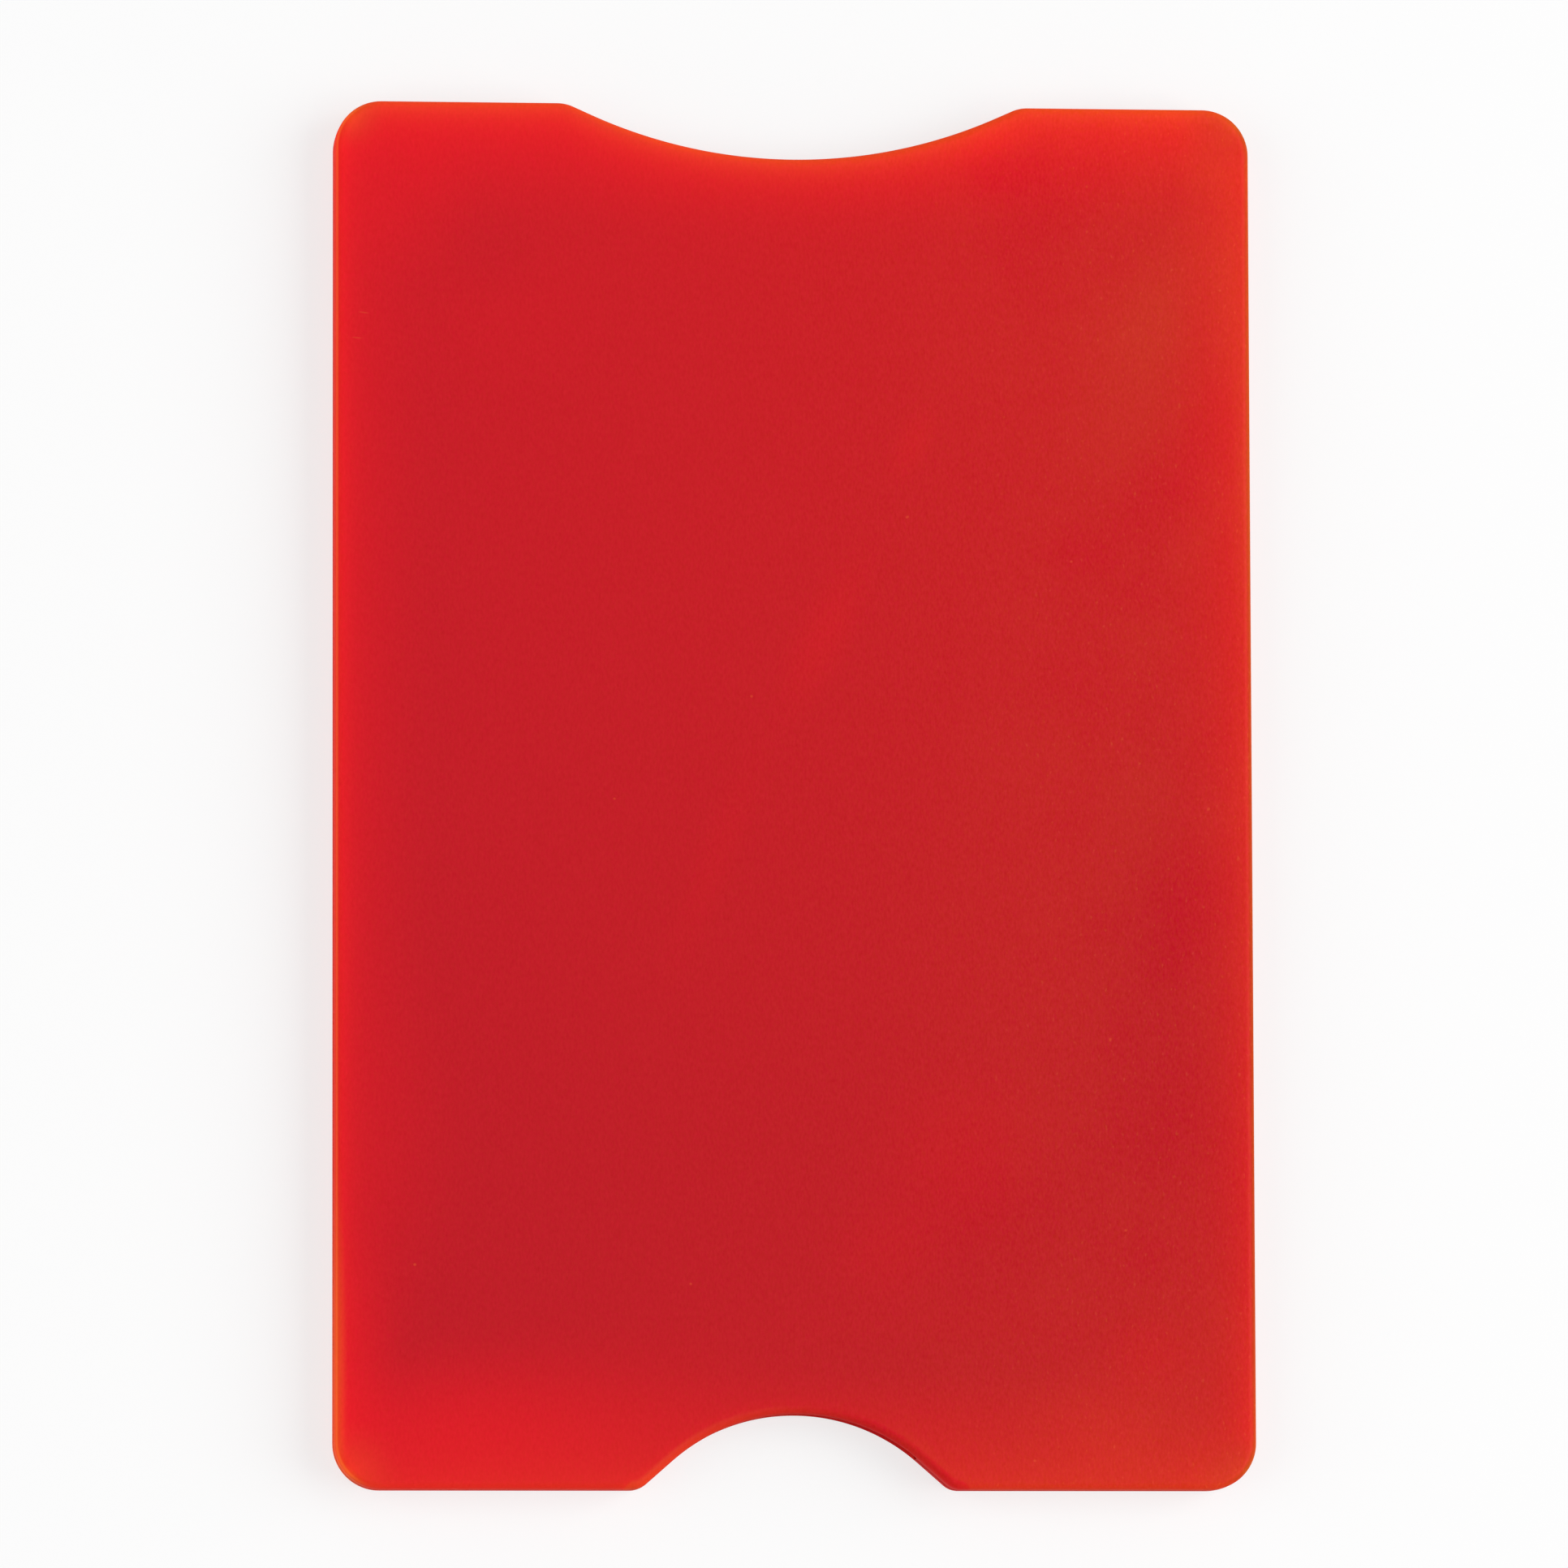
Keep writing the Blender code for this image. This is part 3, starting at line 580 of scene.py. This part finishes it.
# Red plastic. Light enters it at the rims and along the clear borders, and the foil behind the face stays
# dark. Each glow falls off as exp(-distance / reach), where the distance is from the edge that it is named
# for. A band follows an edge, the rim where none is named, and grows from nothing at the distance start to
# all of its colour at whole. Distances are in mm and colours are what is added to red, green and blue. Marks
# are given by their middle, half length and half width in mm, and their turn in degrees.
plastic = {
    "middle": (0.544, 0.0060, 0.0130),  # over the foil, in the middle of the face
    # painted light that grows towards the mouth
    "towardsMouth": (0.054, 0.0, 0.0),  # gained from the middle to the mouth, lost towards the closed end
    "towardsRight": (0.0, 0.0, -0.0015),  # and to the right side
    # painted light that comes through where no foil lies behind, from start to whole mm past its edge
    "clear": {"red": 0.071, "towardsMouth": 0.028, "towardsLeft": 0.052, "start": -4.2, "whole": 4.1},
    "glows": (
        {"edge": "mouth", "reach": 2.4, "colour": (0.225, 0.0, 0.0)},
        {"edge": "mouth", "reach": 0.68, "colour": (0.0, 0.057, 0.0)},
        {"edge": "left", "reach": 0.73, "colour": (0.272, 0.004, 0.0)},
        {"edge": "right", "reach": 1.9, "colour": (0.174, 0.0, 0.0), "towardsMouth": -0.5},
        {"edge": "right", "reach": 0.12, "colour": (0.0, 0.085, 0.0)},
        {"edge": "right", "reach": 21.0, "colour": (0.0, 0.007, 0.0), "towardsMouth": 0.4},
        {"edge": "closed", "reach": 4.6, "colour": (0.190, 0.0, 0.0), "towardsRight": 0.22},
        {"edge": "closed", "reach": 5.0, "colour": (0.0, 0.006, 0.0), "towardsRight": 1.2},
        {"edge": "closed", "reach": 1.6, "colour": (0.0, 0.008, 0.0), "towardsRight": -0.3},
    ),
    # painted highlights and shade along the edges: lighter lines on the rounded edges, darker walls and rims
    "bands": (
        {"side": "left", "start": 0.50, "whole": 0.30, "colour": (0.045, 0.0, 0.0)},
        {"side": "left", "start": 0.27, "whole": 0.15, "colour": (0.08, 0.066, 0.010)},
        {"side": "left", "start": 0.12, "whole": 0.05, "colour": (-0.15, -0.045, -0.003)},
        {"side": "right", "start": 0.45, "whole": 0.15, "colour": (-0.24, 0.0, -0.004)},
        {"side": "right", "start": 0.07, "whole": 0.02, "colour": (0.13, -0.030, 0.0)},
        {"side": "right", "start": 0.045, "whole": 0.025, "colour": (0.0, -0.040, 0.008)},  # the wall
        {"start": 0.06, "whole": 0.02, "colour": (-0.03, 0.0, 0.0)},
        {"start": 0.60, "whole": 0.10, "colour": (0.0, 0.0, -0.007)},
        {"edge": "thumb", "start": 0.50, "whole": 0.10, "colour": (-0.045, 0.0, 0.0), "towardsRight": 1.2},
        {"edge": "thumb", "start": 0.68, "whole": 0.40, "colour": (0.0, 0.0025, 0.0), "towardsRight": -21.0},
        {"edge": "thumb", "start": 0.16, "whole": 0.06, "colour": (-0.01, 0.0, 0.0), "towardsRight": -15.0},
        {"edge": "thumb", "start": 1.30, "whole": 0.40, "colour": (0.02, 0.0, 0.0), "towardsRight": -3.0},
    ),
    "weldShade": {"start": 0.60, "whole": 0.25, "depth": 0.25},  # darker where the shells meet
    "sideFade": (0.1, 0.9),  # of facesRight, for the bands of one side
    "specular": 0.15,
    "roughness": {"middle": 0.45, "swing": 0.06},
    "matteRim": {"start": 0.60, "whole": 0.15, "rougher": 0.35},
    # grain and mottle along the case; flecks, clouds and deeper grain on the right are painted sheen
    "grain": {"cells": (7000, 2900, 7000), "detail": 3.0, "roughness": 0.6},
    "grainColour": (0.085, 0.027, 0.006),
    "mottle": {"cells": (6400, 3400, 5800), "detail": 3.0, "roughness": 0.6},
    "mottleRed": (0.105, 0.0, 0.0),
    "mottleBlue": (0.0, 0.0, 0.027),
    "grainFade": {"start": -0.4, "whole": 0.8, "least": 0.5},
    "flecks": {"cells": (4400, 2600, 5000), "detail": 1.0, "roughness": 0.5},
    "fleckEdge": (0.62, 0.84),
    "fleckColour": (0.03, 0.026, 0.004),
    "clouds": {"cells": (150, 105, 150), "detail": 5.0, "roughness": 0.62},
    "cloudEdge": (0.38, 0.68),
    "cloudFade": (0.1, 0.75),
    "cloudColour": (0.004, 0.0045, 0.0),
    "pores": {"cells": (9000, 6000, 9000), "detail": 2.0, "roughness": 0.6},
    "grainRelief": 0.6,  # against the pores' 1
    "reliefDepth": 0.004,
    "dustColour": (0.74, 0.085, 0.025, 1),
    "dustShare": 0.40,
    "dustCore": 0.4,
    # painted light and shade on the faces: soft marks which add a lift to red and green
    "paintedLightMarks": (
        # painted light in the long streak, let through where the foil behind is uneven
        {"at": (7.6, 22.5), "size": (3.6, 1.6), "turn": 62, "lift": (0.036, 0.0)},
        {"at": (1.9, 10.2), "size": (8.0, 2.5), "turn": 64, "lift": (0.040, 0.0)},
        {"at": (-5.2, -4.4), "size": (11.5, 1.9), "turn": 68, "lift": (0.022, 0.0)},
        # painted light and shade in blotches near the closed end
        {"at": (10.3, -23.1), "size": (8.6, 7.6), "turn": 40, "lift": (0.036, 0.0)},
        {"at": (5.7, -29.4), "size": (5.4, 4.6), "turn": 0, "lift": (0.028, 0.0)},
        {"at": (20.5, -40.5), "size": (8.0, 5.5), "turn": 0, "lift": (0.038, 0.003)},
        {"at": (22.6, -36.0), "size": (4.2, 3.6), "turn": 0, "lift": (0.034, 0.0)},
        {"at": (5.0, -37.0), "size": (20.0, 3.6), "turn": 0, "lift": (-0.030, 0.0)},
        # painted light through the clear border on the left, and painted light and shade beside it
        {"at": (-20.5, -40.0), "size": (13.0, 5.5), "turn": 0, "lift": (0.038, 0.0)},
        {"at": (-27.8, -36.0), "size": (3.0, 10.0), "turn": 0, "lift": (0.050, 0.0)},
        {"at": (-24.5, -22.0), "size": (5.0, 14.0), "turn": 0, "lift": (0.030, 0.0)},
        {"at": (-25.0, 38.0), "size": (5.5, 6.5), "turn": 0, "lift": (0.055, 0.0)},
        {"at": (-19.0, 31.0), "size": (9.0, 7.5), "turn": 0, "lift": (0.020, 0.0)},
        {"at": (-19.2, 34.2), "size": (4.2, 4.4), "turn": 0, "lift": (-0.020, 0.0)},
        # painted sheen on the right, lighter and darker in green
        {"at": (24.5, -11.0), "size": (9.5, 23.0), "turn": 0, "lift": (-0.027, 0.0)},
        {"at": (22.8, 29.0), "size": (15.0, 5.5), "turn": 63, "lift": (0.0, 0.008)},
        {"at": (28.6, 33.0), "size": (2.6, 12.0), "turn": 0, "lift": (0.0, 0.010)},
        {"at": (24.4, 20.0), "size": (9.5, 3.8), "turn": 55, "lift": (0.0, -0.0055)},
        {"at": (18.2, 15.6), "size": (4.5, 2.2), "turn": -10, "lift": (0.0, -0.004)},
        {"at": (16.0, 37.2), "size": (9.0, 5.0), "turn": 55, "lift": (0.0, -0.003)},
        {"at": (29.2, 20.0), "size": (1.3, 15.0), "turn": 0, "lift": (0.0, 0.014)},
        {"at": (25.3, -7.6), "size": (5.4, 7.6), "turn": 0, "lift": (0.0, -0.005)},
        {"at": (24.5, -22.5), "size": (7.0, 14.0), "turn": 0, "lift": (0.0, -0.003)},
        {"at": (12.5, -26.0), "size": (11.0, 8.0), "turn": 0, "lift": (0.0, -0.0025)},
        {"at": (21.5, 6.0), "size": (9.0, 5.0), "turn": -20, "lift": (0.0, -0.004)},
        {"at": (27.0, 40.5), "size": (3.2, 3.2), "turn": 0, "lift": (0.0, 0.008)},
        {"at": (22.8, 12.8), "size": (3.5, 2.5), "turn": 0, "lift": (0.0, -0.0045)},
        {"at": (28.7, -2.0), "size": (0.9, 26.0), "turn": 0, "lift": (0.0, 0.004)},
        {"at": (21.5, -12.0), "size": (7.5, 19.0), "turn": 0, "lift": (0.0, -0.003)},
        {"at": (22.0, -30.0), "size": (6.5, 5.0), "turn": 0, "lift": (0.0, -0.003)},
        {"at": (13.5, 40.0), "size": (4.5, 2.5), "turn": 10, "lift": (0.0, -0.005)},
        # painted light and shade on the notches' flanks
        {"at": (12.8, 42.2), "size": (4.5, 1.6), "turn": 22, "lift": (0.040, 0.0)},
        {"at": (-12.6, 43.5), "size": (5.0, 0.9), "turn": -24, "lift": (-0.075, 0.0)},
        {"at": (7.7, -42.0), "size": (3.4, 1.0), "turn": -38, "lift": (0.01, 0.006)},
        # painted highlights and shade on the rim near the corners
        {"at": (-29.4, -37.0), "size": (0.8, 15.0), "turn": 0, "lift": (0.02, 0.050)},
        {"at": (-28.6, 43.6), "size": (2.6, 2.6), "turn": 0, "lift": (-0.10, 0.016)},
        {"at": (28.9, 43.9), "size": (4.6, 4.6), "turn": 0, "lift": (-0.17, 0.004)},
        {"at": (-28.6, -43.6), "size": (3.8, 3.8), "turn": 0, "lift": (0.0, 0.018)},
        {"at": (-28.6, -43.6), "size": (2.2, 0.5), "turn": -45, "lift": (0.0, 0.035)},
        {"at": (28.8, -43.8), "size": (3.6, 3.6), "turn": 0, "lift": (-0.12, 0.010)},
    ),
    # dust specks and two fine scratches, all lighter than the plastic
    "specks": (
        {"at": (27.55, 32.69), "size": (0.13, 0.11), "turn": 0},
        {"at": (7.26, 17.84), "size": (0.15, 0.11), "turn": 30},
        {"at": (17.83, 15.04), "size": (0.12, 0.10), "turn": 0},
        {"at": (-2.81, 6.21), "size": (0.12, 0.11), "turn": 0},
        {"at": (26.61, -0.87), "size": (0.17, 0.13), "turn": 50},
        {"at": (-11.62, -0.42), "size": (0.11, 0.09), "turn": 0},
        {"at": (20.18, -15.73), "size": (0.16, 0.12), "turn": 80},
        {"at": (-24.40, -30.24), "size": (0.14, 0.12), "turn": 0},
        {"at": (-6.80, -31.43), "size": (0.11, 0.10), "turn": 0},
        {"at": (21.11, -27.94), "size": (0.13, 0.11), "turn": 20},
        {"at": (15.19, -42.67), "size": (0.14, 0.12), "turn": 0},
        {"at": (-27.67, 30.74), "size": (0.45, 0.05), "turn": 172},
        {"at": (-28.09, 29.11), "size": (0.40, 0.05), "turn": 175},
    ),
}


# 1 inside the share called core of an ellipse on the face and 0 outside it, with a soft edge between. The
# ellipse's edge is where sqrt((along / half length)² + (across / half width)²) is 1.
def ellipseShare(tree, place, mark, core=0.0):
    steps = {
        "Vector": place,
        "Location": (mark["at"][0] * mm, mark["at"][1] * mm, 0),
        "Rotation": (0, 0, math.radians(mark["turn"])),
        "Scale": (mark["size"][0] * mm, mark["size"][1] * mm, 1),
    }
    local = addNode(tree, "Mapping", steps, vector_type="TEXTURE").outputs["Vector"]
    flat = addNode(tree, "VectorMath", {0: local, 1: (1, 1, 0)}, operation="MULTIPLY").outputs[0]
    length = addNode(tree, "VectorMath", {0: flat}, operation="LENGTH").outputs["Value"]
    return spread(tree, length, 1.0, core)


# Adds a mark's colour. It may be stronger towards one end or side, by 1 + towards * place, where the place
# goes from -1 to 1.
def withMark(tree, colour, mark, share, places):
    for towards, place in places.items():
        if towards in mark:
            share = maths(tree, "MULTIPLY", share, maths(tree, "MULTIPLY_ADD", place, mark[towards], 1.0))
    return added(tree, colour, scaled(tree, mark["colour"], share))


# The plastic over the foil, and painted light past the foil's edge, where no foil lies behind
def faceColour(tree, settings, places):
    x, y = places["towardsRight"], places["towardsMouth"]
    colour = added(tree, scaled(tree, settings["towardsMouth"], y), settings["middle"])
    colour = added(tree, colour, scaled(tree, settings["towardsRight"], x))
    clear = settings["clear"]
    share = spread(tree, attribute(tree, "pastFoil"), clear["start"], clear["whole"])
    gain = maths(tree, "MULTIPLY_ADD", y, clear["towardsMouth"], clear["red"])
    leftAndLow = maths(tree, "MULTIPLY", maths(tree, "SUBTRACT", y, 1.0), x)
    gain = maths(tree, "MULTIPLY_ADD", leftAndLow, clear["towardsLeft"], gain)
    return added(tree, colour, scaled(tree, (1, 0, 0), maths(tree, "MULTIPLY", share, gain)))


# Painted glow at the edges, painted highlights and shade along them, and shade where the shells meet
def withEdges(tree, settings, colour, places, height):
    fromClosedEnd = maths(tree, "ADD", places["towardsMouth"], 1.0)
    fromEdge = {"closed": maths(tree, "MULTIPLY", fromClosedEnd, case["length"] / 2)}
    for edge in ("rim", "mouth", "thumb", "left", "right"):
        fromEdge[edge] = attribute(tree, "from" + edge.title())
    for glow in settings["glows"]:
        reach = maths(tree, "DIVIDE", fromEdge[glow["edge"]], -glow["reach"])
        colour = withMark(tree, colour, glow, maths(tree, "EXPONENT", reach), places)
    faces = attribute(tree, "facesRight")
    start, whole = settings["sideFade"]
    sides = {"left": spread(tree, faces, -start, -whole), "right": spread(tree, faces, start, whole)}
    for band in settings["bands"]:
        share = spread(tree, fromEdge[band.get("edge", "rim")], band["start"], band["whole"])
        if "side" in band:
            share = maths(tree, "MULTIPLY", share, sides[band["side"]])
        colour = withMark(tree, colour, band, share, places)
    weld = settings["weldShade"]
    fromWeld = maths(tree, "ABSOLUTE", maths(tree, "SUBTRACT", height, case["thickness"] / 2 * mm))
    shade = spread(tree, fromWeld, weld["start"] * mm, weld["whole"] * mm, 1.0, 1 - weld["depth"])
    return scaled(tree, colour, shade)


# Grain and mottle, and painted sheen on the right half: deeper grain there, and flecks and clouds
def withGrain(tree, settings, colour, place, x, grain, cloud):
    fade = settings["grainFade"]
    depth = spread(tree, x, fade["start"], fade["whole"], fade["least"], 1.0)
    swing = maths(tree, "MULTIPLY", maths(tree, "SUBTRACT", grain, 0.5), depth)
    mottle = maths(tree, "SUBTRACT", noise(tree, place, settings["mottle"]), 0.5)
    rightness = spread(tree, x, *settings["cloudFade"])
    fleck = spread(tree, noise(tree, place, settings["flecks"]), *settings["fleckEdge"])
    warm = spread(tree, cloud, *settings["cloudEdge"])
    shares = {
        "grainColour": swing,
        "mottleRed": mottle,
        "mottleBlue": maths(tree, "MULTIPLY", mottle, depth),
        "fleckColour": maths(tree, "MULTIPLY", fleck, rightness),
        "cloudColour": maths(tree, "MULTIPLY", warm, rightness),
    }
    for name, share in shares.items():
        colour = added(tree, colour, scaled(tree, settings[name], share))
    return colour


def makePlastic(settings):
    material, tree, shader = newMaterial("redPlastic")
    place = addNode(tree, "TexCoord").outputs["Object"]
    axes = addNode(tree, "SeparateXYZ", {"Vector": place}).outputs
    x = maths(tree, "DIVIDE", axes["X"], case["width"] / 2 * mm)
    y = maths(tree, "DIVIDE", axes["Y"], case["length"] / 2 * mm)
    places = {"towardsMouth": y, "towardsRight": x}
    colour = faceColour(tree, settings, places)
    colour = withEdges(tree, settings, colour, places, axes["Z"])
    # painted light and shade, in soft marks on the faces
    for paintedLightMark in settings["paintedLightMarks"]:
        share = ellipseShare(tree, place, paintedLightMark)
        colour = added(tree, colour, scaled(tree, (*paintedLightMark["lift"], 0), share))
    grain, cloud = noise(tree, place, settings["grain"]), noise(tree, place, settings["clouds"])
    colour = withGrain(tree, settings, colour, place, x, grain, cloud)
    dust = 0.0
    for speck in settings["specks"]:
        dust = maths(tree, "MAXIMUM", dust, ellipseShare(tree, place, speck, settings["dustCore"]))
    dust = maths(tree, "MULTIPLY", dust, settings["dustShare"])
    feed(tree, shader.inputs["Base Color"], blend(tree, dust, colour, settings["dustColour"]))
    shader.inputs["Specular IOR Level"].default_value = settings["specular"]
    rough, rim = settings["roughness"], settings["matteRim"]
    matte = spread(tree, attribute(tree, "fromRim"), rim["start"], rim["whole"], 0.0, rim["rougher"])
    matte = maths(tree, "ADD", matte, rough["middle"] - rough["swing"] / 2)
    feed(tree, shader.inputs["Roughness"], maths(tree, "MULTIPLY_ADD", cloud, rough["swing"], matte))
    pores = noise(tree, place, settings["pores"])
    height = maths(tree, "MULTIPLY_ADD", grain, settings["grainRelief"], pores)
    feed(tree, shader.inputs["Normal"], relief(tree, height, settings["reliefDepth"]))
    return material


# Rolled aluminium foil, faintly creased, with its rolling lines along the case
foil = {
    "colour": (0.86, 0.86, 0.88, 1),
    "darkColour": (0.68, 0.68, 0.70, 1),
    "colourEdge": (0.35, 0.70),
    "roughness": {"least": 0.38, "swing": 0.16},
    "rolling": {"cells": (9000, 120, 9000), "detail": 3.0, "roughness": 0.6},
    "rollingDepth": 0.004,
    "creases": {"cells": (140, 140, 140), "detail": 5.0, "roughness": 0.62},
    "creaseDepth": 0.05,
}


def makeFoil(settings):
    material, tree, shader = newMaterial("shieldFoil")
    place = addNode(tree, "TexCoord").outputs["Object"]
    rolling, creases = noise(tree, place, settings["rolling"]), noise(tree, place, settings["creases"])
    share = spread(tree, rolling, *settings["colourEdge"])
    colour = blend(tree, share, settings["darkColour"], settings["colour"])
    feed(tree, shader.inputs["Base Color"], colour)
    shader.inputs["Metallic"].default_value = 1.0
    rough = settings["roughness"]
    roughness = maths(tree, "MULTIPLY_ADD", rolling, rough["swing"], rough["least"])
    feed(tree, shader.inputs["Roughness"], roughness)
    lines = relief(tree, rolling, settings["rollingDepth"])
    feed(tree, shader.inputs["Normal"], relief(tree, creases, settings["creaseDepth"], lines))
    return material


# The clear film that sticks each foil down
film = {
    "colour": (0.86, 0.84, 0.76, 1),
    "paleColour": (0.93, 0.92, 0.87, 1),
    "colourEdge": (0.35, 0.70),
    "transmission": 0.6,
    "roughness": {"least": 0.25, "swing": 0.2},
    "spots": {"cells": (900, 900, 900), "detail": 3.0, "roughness": 0.6},
    "spotDepth": 0.01,
}


def makeFilm(settings):
    material, tree, shader = newMaterial("adhesiveFilm")
    place = addNode(tree, "TexCoord").outputs["Object"]
    spots = noise(tree, place, settings["spots"])
    share = spread(tree, spots, *settings["colourEdge"])
    colour = blend(tree, share, settings["colour"], settings["paleColour"])
    feed(tree, shader.inputs["Base Color"], colour)
    shader.inputs["Transmission Weight"].default_value = settings["transmission"]
    rough = settings["roughness"]
    roughness = maths(tree, "MULTIPLY_ADD", spots, rough["swing"], rough["least"])
    feed(tree, shader.inputs["Roughness"], roughness)
    feed(tree, shader.inputs["Normal"], relief(tree, spots, settings["spotDepth"]))
    return material


addCamera(photoView)
addFloor(room)
addWorld(room)
addLamps(lamps)
redPlastic = makePlastic(plastic)
shieldFoil = makeFoil(foil)
adhesiveFilm = makeFilm(film)
for side in ("front", "rear"):
    makeShell(side, redPlastic)
    nodes[side + "_shield_foil"].material_slots[0].material = shieldFoil
    nodes[side + "_foil_adhesive"].material_slots[0].material = adhesiveFilm
print("foils and films finished")
